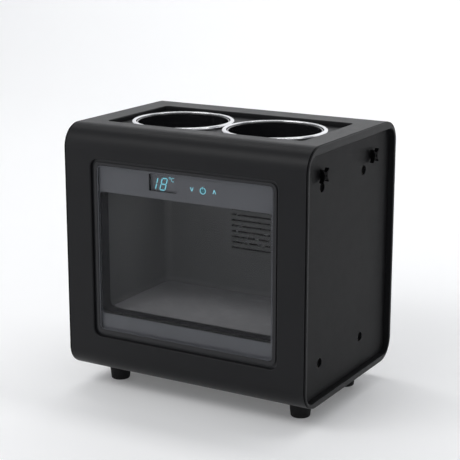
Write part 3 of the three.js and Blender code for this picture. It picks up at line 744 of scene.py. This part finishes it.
def make_thumb_screw(side, word, place):
    node = f"thumb_screw_{word}_{place}"
    low, high, middle = span(node)
    tip = high.x if side > 0 else low.x
    outline = hollow_square(middle.y, middle.z, KNOB["half"], KNOB["hollow"], KNOB["blunt"])
    under = tip - side * KNOB["thickness"]
    rings = plate_rings(outline, "x", min(tip, under), max(tip, under), 0.5, 0.5, 4)
    head = loft(f"knob_{word}_{place}", rings)
    face = SHELL_HIGH.x - SIDE_RECESS
    stem = [
        (0, face - 11.6), (1.8, face - 11.6), (2.3, face - 11), (2.3, face + 0.3), (4.2, face + 0.35),
        (4.5, face + 0.6), (4.2, face + 1.0), (3.0, face + 2.2), (2.8, face + 3), (0, face + 3),
    ]
    neck = lathe("neck", [(r, side * x) for r, x in stem], "x", (0, middle.y, middle.z), 40)
    hollow = [(0, -0.7), (1.2, -0.6), (1.9, 0.3), (0, 0.5)]
    dish = lathe("dish", [(r, tip + side * x) for r, x in hollow], "x", (0, middle.y, middle.z), 32)
    join(head, neck)
    cut(head, dish)
    show(head, MAT["knob"], body=node, stands_for=node)


# -------- deck, rings and sleeves


def make_top():
    outline = round_rect(DECK_LOW.x, DECK_HIGH.x, DECK_LOW.y, DECK_HIGH.y, 5, 10)
    deck = plate("deck_plate", outline, "z", DECK_LOW.z, DECK_HIGH.z, 0.3, 0.3)
    wells = []
    for side in (-1, 1):
        ring = round_hole(side * WELL_X, WELL_Y, WELL["deck"], 96)
        wells.append(flared_cutter("well", ring, "z", DECK_HIGH.z, 8, 0.5, into=-1))
    cut(deck, *wells)
    show(deck, MAT["deck"], stands_for="top_deck")
    for side, word in SIDES:
        make_ring(side, word)
        make_collar(side, word)


def make_ring(side, word):
    low, high = box_mm(f"ring_{word}")
    inner, outer = WELL["ring"], (high.x - low.x) / 2
    crown = arc((outer - 1.9, high.z - 1.9), 1.9, 0, 90, 8)
    inside = arc((inner + 0.9, high.z - 0.9), 0.9, 90, 180, 6)
    profile = [(inner, low.z), (outer - 0.2, low.z), (outer, low.z + 0.2)] + crown + inside
    ring = lathe(f"well_ring_{word}", profile, "z", (side * WELL_X, WELL_Y, 0), 128)
    show(ring, MAT["chrome"], stands_for=f"ring_{word}")


def make_collar(side, word):
    low, high = box_mm(f"collar_{word}")
    outer, wall, flange, flange_height = WELL["sleeve"], 2.0, 56.5, 1.8
    bottom, top = low.z, high.z
    under = DECK_LOW.z - 0.3
    lip = arc((outer - wall / 2, top - wall / 2), wall / 2, 0, 180, 8)
    foot = arc((outer - wall / 2, bottom + wall / 2), wall / 2, 180, 360, 8)
    rim = [(outer, under - flange_height), (flange, under - flange_height), (flange, under), (outer, under)]
    profile = rim + lip + foot
    sleeve = lathe(f"well_sleeve_{word}", profile, "z", (side * WELL_X, WELL_Y, 0), 128)
    show(sleeve, MAT["gloss"], stands_for=f"collar_{word}")


# -------- front window


def pane_outline(inset):
    """Outline function of the pane, shrunk by inset."""
    return window_outline(PANE_HIGH.x - inset, PANE_LOW.z + inset, PANE_HIGH.z - inset, PANE_CORNER - inset)


def make_window():
    low, high = box_mm("window_trim")
    front, back = low.y, high.y
    outline = window_outline(PANE_HIGH.x + TRIM["gap"], TRIM["low"], TRIM["high"], TRIM["corner"])
    seat = pane_outline(-0.15)
    flange = FRONT + WALL["front"] + 0.3
    outside = [(0.0, front + 0.9), (0.25, front + 0.3), (0.9, front)]
    inside = [(-0.5, front), (0.0, front + 0.5), (0.0, back)]
    rings = [put("y", y, outline(inset)) for inset, y in outside]
    rings += [put("y", y, seat(inset)) for inset, y in inside]
    rings += [put("y", y, outline(inset)) for inset, y in ((-6.2, back), (-6.2, flange), (0.0, flange))]
    show(loft("window_bead", rings, closed=True), MAT["trim"], stands_for="window_trim")

    edge = pane_outline(0)
    pane = plate("window_pane", edge, "y", PANE_LOW.y, PANE_HIGH.y, 0.5, 0.3)
    show(pane, MAT["pane"], stands_for="front_glass")
    land = [(0.35, 0.1), (1.5, -0.04), (1.5, -0.01), (0.35, 0.13)]
    land = [(inset, PANE_LOW.y + y) for inset, y in land]
    show(frame_piece("ground_edge", edge, "y", land), MAT["edge"])

    view = window_outline(*VIEW.values())
    low, high = box_mm("window_gasket")
    wide = high.x - VIEW["half"]
    seal = [(0, low.y), (0, high.y), (-wide, high.y), (-wide, low.y)]
    gasket = frame_piece("pane_gasket", view, "y", soften(seal, 0.4))
    show(gasket, MAT["rubber"], stands_for="window_gasket")

    low, high = box_mm("window_reveal")
    wide = high.x - VIEW["half"]
    section = [(0, low.y), (0, high.y), (-wide, high.y), (-wide, low.y)]
    reveal = frame_piece("reveal_frame", view, "y", soften(section, 0.8))
    show(reveal, MAT["reveal"], stands_for="window_reveal")

    low, high = box_mm("rear_glass")
    outline = window_outline(high.x, low.z, high.z, 10)
    rear = plate("rear_pane", outline, "y", low.y, high.y, 0.3)
    show(rear, MAT["rear_pane"], stands_for="rear_glass")


def soften(profile, radius, steps=3):
    """Rounds the corners of a closed profile."""
    made = []
    count = len(profile)
    for i, (u, v) in enumerate(profile):
        before, after = profile[i - 1], profile[(i + 1) % count]
        ends = []
        for other in (before, after):
            du, dv = other[0] - u, other[1] - v
            length = math.hypot(du, dv)
            ends.append((u + du / length * radius, v + dv / length * radius))
        for k in range(steps + 1):
            t = k / steps
            first, corner, last = (1 - t) ** 2, 2 * t * (1 - t), t ** 2
            made.append(tuple(first * a + corner * c + last * b for a, c, b in zip(ends[0], (u, v), ends[1])))
    return made


# -------- display and touch legends

SEGMENTS = {  # the lit strokes of each digit, as (start, end) in units of half a digit's height
    "1": [((1, 2), (1, 1)), ((1, 1), (1, 0))],
    "8": [
        ((0, 2), (1, 2)), ((1, 2), (1, 1)), ((1, 1), (1, 0)), ((0, 0), (1, 0)),
        ((0, 1), (0, 0)), ((0, 2), (0, 1)), ((0, 1), (1, 1)),
    ],
}
DIGIT = {"width": 6.5, "height": 12.8, "stroke": 1.2, "slant": 0.27, "base": BASE + 217.4}
DIGIT_PLACES = {"1": -44.2, "8": -32.2}


def bar(name, start, end, width, y0, y1, gap=0.0):
    """A flat stroke between two points of the XZ plane, with pointed ends."""
    a, b = Vector((*start, 0)), Vector((*end, 0))
    along = (b - a).normalized()
    across = Vector((-along.y, along.x, 0)) * (width / 2)
    a, b = a + along * gap, b - along * gap
    tip = along * (width / 2)
    ring = [a, a + tip - across, b - tip - across, b, b - tip + across, a + tip + across]
    points = [(p.x, p.y) for p in ring]
    return prism(name, points, y0, y1)


def digit_strokes(character, x, y0, y1, width):
    """Strokes of one slanted seven-segment digit whose left edge stands at x."""
    pieces = []
    half = DIGIT["height"] / 2
    for start, end in SEGMENTS[character]:
        ends = []
        for u, v in (start, end):
            z = v * half
            ends.append((x + u * DIGIT["width"] + z * DIGIT["slant"], DIGIT["base"] + z))
        pieces.append(bar("stroke", *ends, width, y0, y1, 0.25))
    return pieces


def outline_ring(name, centre, radius, width, y0, y1, sides=48, start=0, stop=360):
    """A flat ring, or part of one, in the XZ plane."""
    outer = arc(centre, radius, start, stop, sides)
    inner = arc(centre, radius - width, start, stop, sides)
    if stop - start >= 360:
        outer, inner = outer[:-1], inner[:-1]
        rows = [put("y", y, row) for row, y in ((outer, y0), (outer, y1), (inner, y1), (inner, y0))]
        return loft(name, rows, closed=True)
    points = outer + inner[::-1]
    return prism(name, points, y0, y1)


def display_slot():
    low, high = box_mm("display_module")
    return front_rect(low, high, 0.5, 4, -0.5)


def make_display():
    low, high = box_mm("display_module")
    floor = high.y - 0.9
    body = block("display_body", low, high, 0.2)
    recess = display_slot()
    cut(body, prism("recess", recess(), low.y - 1, floor))
    show(body, MAT["screen"], stands_for="display_module")
    face = prism("display_face", recess(0.1), floor - 0.3, floor - 0.02)
    show(face, MAT["face"])
    layers = (("digits", 0.36, 0.0, "glow"), ("halo", 0.32, 1.3, "halo"))
    for name, lift, grow, material in layers:
        y1 = floor - lift
        strokes = []
        for character, x in DIGIT_PLACES.items():
            strokes += digit_strokes(character, x, y1 - 0.03, y1, DIGIT["stroke"] + grow)
        show(merge(f"display_{name}", strokes), MAT[material])
    y0, y1 = floor - 0.42, floor - 0.36
    degree = outline_ring("degree", (-19.1, BASE + 231.3), 1.3, 0.5, y0, y1, 24)
    letter = outline_ring("letter", (-15.3, BASE + 229.6), 2.3, 0.6, y0, y1, 20, 50, 310)
    show(merge("display_unit", [degree, letter]), MAT["glow"])


ICONS = {"down": 10.6, "power": 24.1, "up": 38.1}


def make_print():
    """The printed border behind the pane, with its clear view and the slot for the display."""
    back = PANE_HIGH.y
    y0, y1 = back + 0.1, back + 0.2
    outline = pane_outline(0.3)
    sheet = prism("pane_print", outline(), y0, y1)
    view = window_outline(*PRINT_VIEW.values())
    slot = display_slot()
    tools = [prism("tool", shape(), y0 - 1, y1 + 1) for shape in (view, slot)]
    cut(sheet, *tools)
    show(sheet, MAT["print"])


def make_icons():
    y0, y1 = PANE_HIGH.y + 0.01, PANE_HIGH.y + 0.05
    reach, rise, width = 1.7, 2.3, 0.95
    for name, sign in (("down", -1), ("up", 1)):
        x = ICONS[name]
        tip = (x, TOUCH_Z + sign * rise)
        wings = [
            bar("wing", (x - reach, TOUCH_Z - sign * rise), tip, width, y0, y1),
            bar("wing", (x + reach, TOUCH_Z - sign * rise), tip, width, y0, y1),
        ]
        show(merge(f"icon_{name}", wings), MAT["glow"])
    x = ICONS["power"]
    loop = outline_ring("loop", (x, TOUCH_Z - 0.3), 3.7, 0.9, y0, y1, 36, 108, 432)
    stem = bar("stem", (x, TOUCH_Z + 1.4), (x, TOUCH_Z + 4.3), 0.8, y0, y1)
    show(merge("icon_power", [loop, stem]), MAT["glow"])
    ring = round_hole(x, TOUCH_Z - 0.3, 3.2, 36)
    halo = prism("icon_halo", ring(), y1 + 0.01, y1 + 0.03)
    show(halo, MAT["halo"])


# -------- cabin


def make_cabin():
    low, high = box_mm("cabin_liner")
    wall = CABIN_WALL
    liner = block("cabin_shell", low, high, 1.0, 2)
    inside = block("hollow", low + Vector((wall,) * 3), high - Vector((wall,) * 3), 9, 6)
    view = window_outline(*VIEW.values())
    window = prism("view_tool", view(-3), low.y - 1, low.y + wall + 10)
    fan_low, fan_high = box_mm("cold_fan_grille")
    fan = front_rect(fan_low, fan_high, 4, 6, -3.0)
    duct = prism("fan_tool", fan(), high.y - 12, high.y + 2)
    wells = []
    for side in (-1, 1):
        at = (side * WELL_X, WELL_Y, 0)
        wells.append(rod("well_tool", WELL["liner"], high.z - 12, high.z + 2, "z", at, 96))
    cut(liner, inside, window, duct, *wells)
    show(liner, MAT["liner"], stands_for="cabin_liner")

    low, high = box_mm("cold_fan_grille")
    outline = front_rect(low, high, 6, 8)
    grille = plate("fan_guard", outline, "y", low.y, high.y, 0.6, 0.2)
    middle = (low + high) / 2
    slots = []
    for i in range(-4, 5):
        z = middle.z + i * 6.6
        slot = round_rect(middle.x - 26, middle.x + 26, z - 1.2, z + 1.2, 1.1, 5)
        slots.append(prism("slot", slot(), low.y - 1, high.y + 1))
    cut(grille, *slots)
    show(grille, MAT["liner"], stands_for="cold_fan_grille")

    low, high = box_mm("floor_mat")
    outline = round_rect(low.x, high.x, low.y, high.y, 6, 8)
    mat = plate("cabin_mat", outline, "z", low.z, high.z, 0.2, 0.7)
    show(mat, MAT["mat"], stands_for="floor_mat")

    low, high = box_mm("cabin_light")
    lamp = block("cabin_lamp", low, high, 1.4, 4)
    show(lamp, MAT["lamp"], stands_for="cabin_light")

    low, high, middle = span("temperature_sensor")
    radius, ends = (high.x - low.x) / 2, 2.5
    profile = [(r, low.z + ends + z) for r, z in arc((0, 0), radius, -90, 0, 8)]
    profile += [(r, high.z - ends + z) for r, z in arc((0, 0), radius, 0, 90, 8)]
    profile[0], profile[-1] = (0, profile[0][1]), (0, profile[-1][1])  # exactly on the axis
    sensor = lathe("sensor_probe", profile, "z", (middle.x, middle.y, 0), 32)
    show(sensor, MAT["steel"], stands_for="temperature_sensor")


# -------- fans


def make_fan(which, blade_radius, hub, blades):
    make_fan_body(which, blade_radius, hub)
    make_fan_rotor(which, blade_radius, hub, blades)


def make_fan_body(which, blade_radius, hub):
    """A square frame with a flared round duct, four screw holes, and a motor cup on four arms at the back."""
    low, high, middle = span(f"{which}_fan_frame")
    outline = front_rect(low, high, 4, 8)
    body = plate(f"{which}_fan_body", outline, "y", low.y, high.y, 0.5)
    duct = round_hole(middle.x, middle.z, blade_radius + 1.2, 72)
    flare = [(low.y - 1, -1.2), (low.y + 2, 0), (high.y - 2, 0), (high.y + 1, -1.2)]
    tools = [loft("duct", [put("y", y, duct(inset)) for y, inset in flare])]
    half = (high.x - low.x) / 2 - 4.2  # from the middle to the screw holes
    for sx in (-1, 1):
        for sz in (-1, 1):
            at = (middle.x + sx * half, 0, middle.z + sz * half)
            tools.append(rod("hole", 1.9, low.y - 1, high.y + 1, "y", at))
    cut(body, *tools)
    arms = []
    back = high.y - 1.6
    for i in range(4):
        turn = math.radians(90 * i + 32)
        lean = turn + 0.35
        reach, root = blade_radius + 3, hub - 3
        far = (middle.x + reach * math.cos(turn), middle.z + reach * math.sin(turn))
        near = (middle.x + root * math.cos(lean), middle.z + root * math.sin(lean))
        arms.append(bar("arm", near, far, 3.0, back, high.y))
    cup = [(0, back), (hub - 1, back), (hub - 0.6, high.y - 1.2), (hub - 0.6, high.y), (0, high.y)]
    arms.append(lathe("motor_cup", cup, "y", (middle.x, 0, middle.z), 48))
    join(body, *arms)
    show(body, MAT["fan"], stands_for=f"{which}_fan_frame")


def make_fan_rotor(which, blade_radius, hub, blades):
    middle = node_centre(f"{which}_fan_frame")
    node = f"{which}_fan_rotor"
    low, high = box_mm(node)
    cap = arc((hub - 1.2, low.y + 1.2), 1.2, 270, 360, 5)
    profile = [(0, low.y + 0.3), (hub * 0.5, low.y + 0.15)] + cap + [(hub, high.y), (0, high.y)]
    rotor = lathe(f"{which}_impeller", profile, "y", (middle.x, 0, middle.z), 56)
    made = [fan_blade(i / blades, hub, blade_radius, low.y + 0.5, high.y - 0.5) for i in range(blades)]
    for blade in made:
        blade.data.transform(Matrix.Translation(Vector((middle.x, 0, middle.z)) * MM))
    join(rotor, *made)
    show(rotor, MAT["fan"], body=node, stands_for=node, angle=50)


def fan_blade(share, hub, radius, y0, y1):
    """One swept and twisted blade, thin at its tip, about the Y axis."""
    rings = []
    stations = 7
    for k in range(stations):
        t = k / (stations - 1)
        r = hub - 0.8 + t * (radius - hub + 0.6)
        sweep = 2 * math.pi * share + 0.35 * t * t
        spread = math.radians(26) * (1 - 0.25 * t)
        thick = 0.75 - 0.35 * t
        ring = []
        for u, v in arc((0, 0), 1, 0, 360, 14)[:-1]:
            angle = sweep + u * spread
            lift = y0 + (y1 - y0) * (0.5 - 0.46 * u) + v * thick * 0.5 + 0.25 * (1 - u * u)
            ring.append(Vector((r * math.cos(angle), min(max(lift, y0), y1), r * math.sin(angle))) * MM)
        rings.append(ring)
    return loft("blade", rings)


# -------- rear cover, inlet and feet


def make_rear():
    low, high = box_mm("rear_cover")
    outline = front_rect(low, high, 6, 8)
    cover = plate("back_cover", outline, "y", low.y, high.y, 0.3, 0.5)
    centre_z = node_centre("hot_fan_rotor").z
    half, corner = 1.7, 1.65  # of a slot
    shapes = []
    for i in range(-7, 8):  # the round guard over the hot fan
        z = centre_z + i * 6.4
        reach = 46 * math.sqrt(1 - (i / 8.2) ** 2)
        shapes.append(round_rect(-reach, reach, z - half, z + half, corner, 5))
    for x in range(-66, 67, 12):  # the row of vents for the board
        shapes.append(round_rect(x - half, x + half, low.z + 13.7, low.z + 33.7, corner, 5))
    tools = [flared_cutter("slot", shape, "y", high.y, 6, 0.35, into=-1) for shape in shapes]
    for i in range(1, 5):
        middle = node_centre(f"rear_cover_screw_{i}")
        for radius, reach in ((1.9, 6), (3.5, 1.6)):
            tools.append(rod("hole", radius, high.y + 1, high.y - reach, "y", (middle.x, 0, middle.z), 32))
    cut(cover, merge("slots", tools[:len(shapes)]), *tools[len(shapes):])
    show(cover, MAT["panel"], stands_for="rear_cover")


def make_inlet():
    low, high, middle = span("mains_inlet")
    face = high.y
    flange = plate("inlet_body", inlet_opening(0), "y", face - 3, face, 0.3, 0.6)
    near, far = (middle.x - 13, low.y, middle.z - 9.5), (middle.x + 13, face - 1, middle.z + 9.5)
    join(flange, block("inlet_box", near, far, 0.4))
    half_x, half_z, chamfer = 11.6, 8.0, 4.0
    corners = [
        (-half_x, -half_z), (half_x, -half_z), (half_x, half_z - chamfer), (half_x - chamfer, half_z),
        (-half_x + chamfer, half_z), (-half_x, half_z - chamfer),
    ]
    socket = [(middle.x + u, middle.z + v) for u, v in soften(corners, 0.8)]
    cut(flange, prism("socket", socket, face - 17, face + 1))
    show(flange, MAT["fan"], stands_for="mains_inlet")
    pins = []
    for dx, dz in ((-7, -1.5), (0, 2.5), (7, -1.5)):
        pin_low = (middle.x + dx - 1, face - 19, middle.z + dz - 2)
        pins.append(block("pin", pin_low, (middle.x + dx + 1, face - 6, middle.z + dz + 2), 0.4))
    show(merge("inlet_pins", pins), MAT["steel"])


def make_feet():
    for word in FEET:
        low, high, middle = span("foot_" + word)
        top, base, height, round_edge = (high.x - low.x) / 2, 10.8, high.z, 1.8
        sole = arc((base - round_edge, round_edge), round_edge, 270, 350, 6)
        profile = [(0, 12.7), (4.8, 12.7), (5, 12.4), (5.0, 1.0), (5.6, 0.0), (8.7, 0.0)] + sole
        profile += [(top - 0.8, height - 4.2), (top - 0.7, height - 3.8), (top - 0.2, height - 3.6)]
        profile += [(top, height - 3.4), (top, height - 0.5), (top - 0.3, height)]
        profile += [(FOOT_BOLT_HOLE, height), (FOOT_BOLT_HOLE, 18), (0, 18)]
        foot = lathe("rubber_foot_" + word, profile, "z", (middle.x, middle.y, 0), 64)
        cut(foot, rod("drill", FOOT_BOLT_HOLE, 10, 30, "z", (middle.x, middle.y, 0), 32))
        show(foot, MAT["rubber"], stands_for="foot_" + word)


# -------- CAD nodes that keep their shape


def dress(node, material, bevel=0.3):
    """Gives a CAD node its material, and softens its edges."""
    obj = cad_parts[node]
    obj.data.materials.clear()
    obj.data.materials.append(material)
    weld = obj.modifiers.new("weld", "WELD")
    weld.merge_threshold = 1e-6
    if bevel:
        edge = obj.modifiers.new("edges", "BEVEL")
        edge.width, edge.segments = bevel * MM, 2
        edge.limit_method, edge.angle_limit = "ANGLE", math.radians(50)
        edge.use_clamp_overlap = True
    weigh = obj.modifiers.new("weighted_normals", "WEIGHTED_NORMAL")
    weigh.keep_sharp = False


def dress_inner_nodes():
    dress("insulation_body", MAT["foam"], 0)
    for sink in ("cold_sink", "hot_sink"):
        dress(sink, MAT["aluminium"], 0.15)
    dress("cold_block", MAT["aluminium"])
    dress("peltier_module", MAT["ceramic"])
    for board in ("control_board", "power_board"):
        dress(board, MAT["board"], 0.15)
    dress("wiring_harness", MAT["cable"], 0)


# -------- stage

FLOOR_GREY = (0.92, 0.92, 0.925)
FLOOR_LIFT = 0.1  # a little light of its own, so the floor stays pale
WORLD = {"horizon": 1.0, "zenith": 0.32}


def make_floor():
    """A pale floor that curves up behind the object."""
    half, front, back, radius, height = 4.0, -3.0, 2.6, 1.2, 3.0
    bend = arc((back - radius, radius), radius, -90, 0, 12)
    profile = [(front, 0.0), (back - radius, 0.0)] + bend[1:] + [(back, height)]
    bm = bmesh.new()
    rows = [[bm.verts.new((x, y, z)) for y, z in profile] for x in (-half, half)]
    for i in range(len(profile) - 1):
        bm.faces.new((rows[0][i], rows[1][i], rows[1][i + 1], rows[0][i + 1]))
    mesh = bpy.data.meshes.new("floor")
    bm.to_mesh(mesh)
    bm.free()
    mesh.polygons.foreach_set("use_smooth", [True] * len(mesh.polygons))
    floor = bpy.data.objects.new("floor", mesh)
    bpy.context.scene.collection.objects.link(floor)
    m = Nodes("studio_floor", FLOOR_GREY, 0.75)
    m.shader.inputs["Emission Color"].default_value = (1, 1, 1, 1)
    m.set("Emission Strength", FLOOR_LIFT)
    mesh.materials.append(m.material)


def area_light(name, place, target, size, power):
    data = bpy.data.lights.new(name, "AREA")
    data.shape = "RECTANGLE"
    data.size, data.size_y = size
    data.energy = power
    light = bpy.data.objects.new(name, data)
    light.location = place
    way = Vector(target) - Vector(place)
    light.rotation_euler = way.to_track_quat("-Z", "Y").to_euler()
    bpy.context.scene.collection.objects.link(light)


def make_world():
    """A white room: bright towards the horizon, dimmer overhead."""
    world = bpy.data.worlds.new("studio")
    world.use_nodes = True
    tree = world.node_tree
    place = tree.nodes.new("ShaderNodeTexCoord")
    split = tree.nodes.new("ShaderNodeSeparateXYZ")
    tree.links.new(place.outputs["Generated"], split.inputs["Vector"])
    fade = tree.nodes.new("ShaderNodeMapRange")
    heights = {"From Min": 0.05, "From Max": 0.6, "To Min": WORLD["horizon"], "To Max": WORLD["zenith"]}
    for key, number in heights.items():
        fade.inputs[key].default_value = number
    tree.links.new(split.outputs["Z"], fade.inputs["Value"])
    background = tree.nodes["Background"]
    background.inputs["Color"].default_value = (0.95, 0.97, 1.0, 1)
    tree.links.new(fade.outputs["Result"], background.inputs["Strength"])
    bpy.context.scene.world = world


def make_lights():
    make_world()
    middle = (0, 0, 0.15)
    area_light("front_top_box", (-0.5, -1.3, 1.5), middle, (1.4, 0.7), 13)
    area_light("fill_box", (-1.9, -1.4, 0.7), middle, (1.0, 1.4), 3)
    area_light("backdrop_box", (0, 0.6, 2.6), (0, 2.4, 0.6), (4.0, 0.8), 40)
    bpy.context.scene.view_settings.view_transform = "Standard"


# -------- assembly

make_shell()
for side_sign, side_word in SIDES:
    make_side_panel(side_sign, side_word)
    for knob_place in ("front", "back"):
        make_thumb_screw(side_sign, side_word, knob_place)
make_screws()
make_top()
make_window()
make_display()
make_print()
make_icons()
make_cabin()
make_fan("cold", 26, 10, 7)
make_fan("hot", 41, 15, 9)
make_rear()
make_inlet()
make_feet()
dress_inner_nodes()
make_floor()
make_lights()
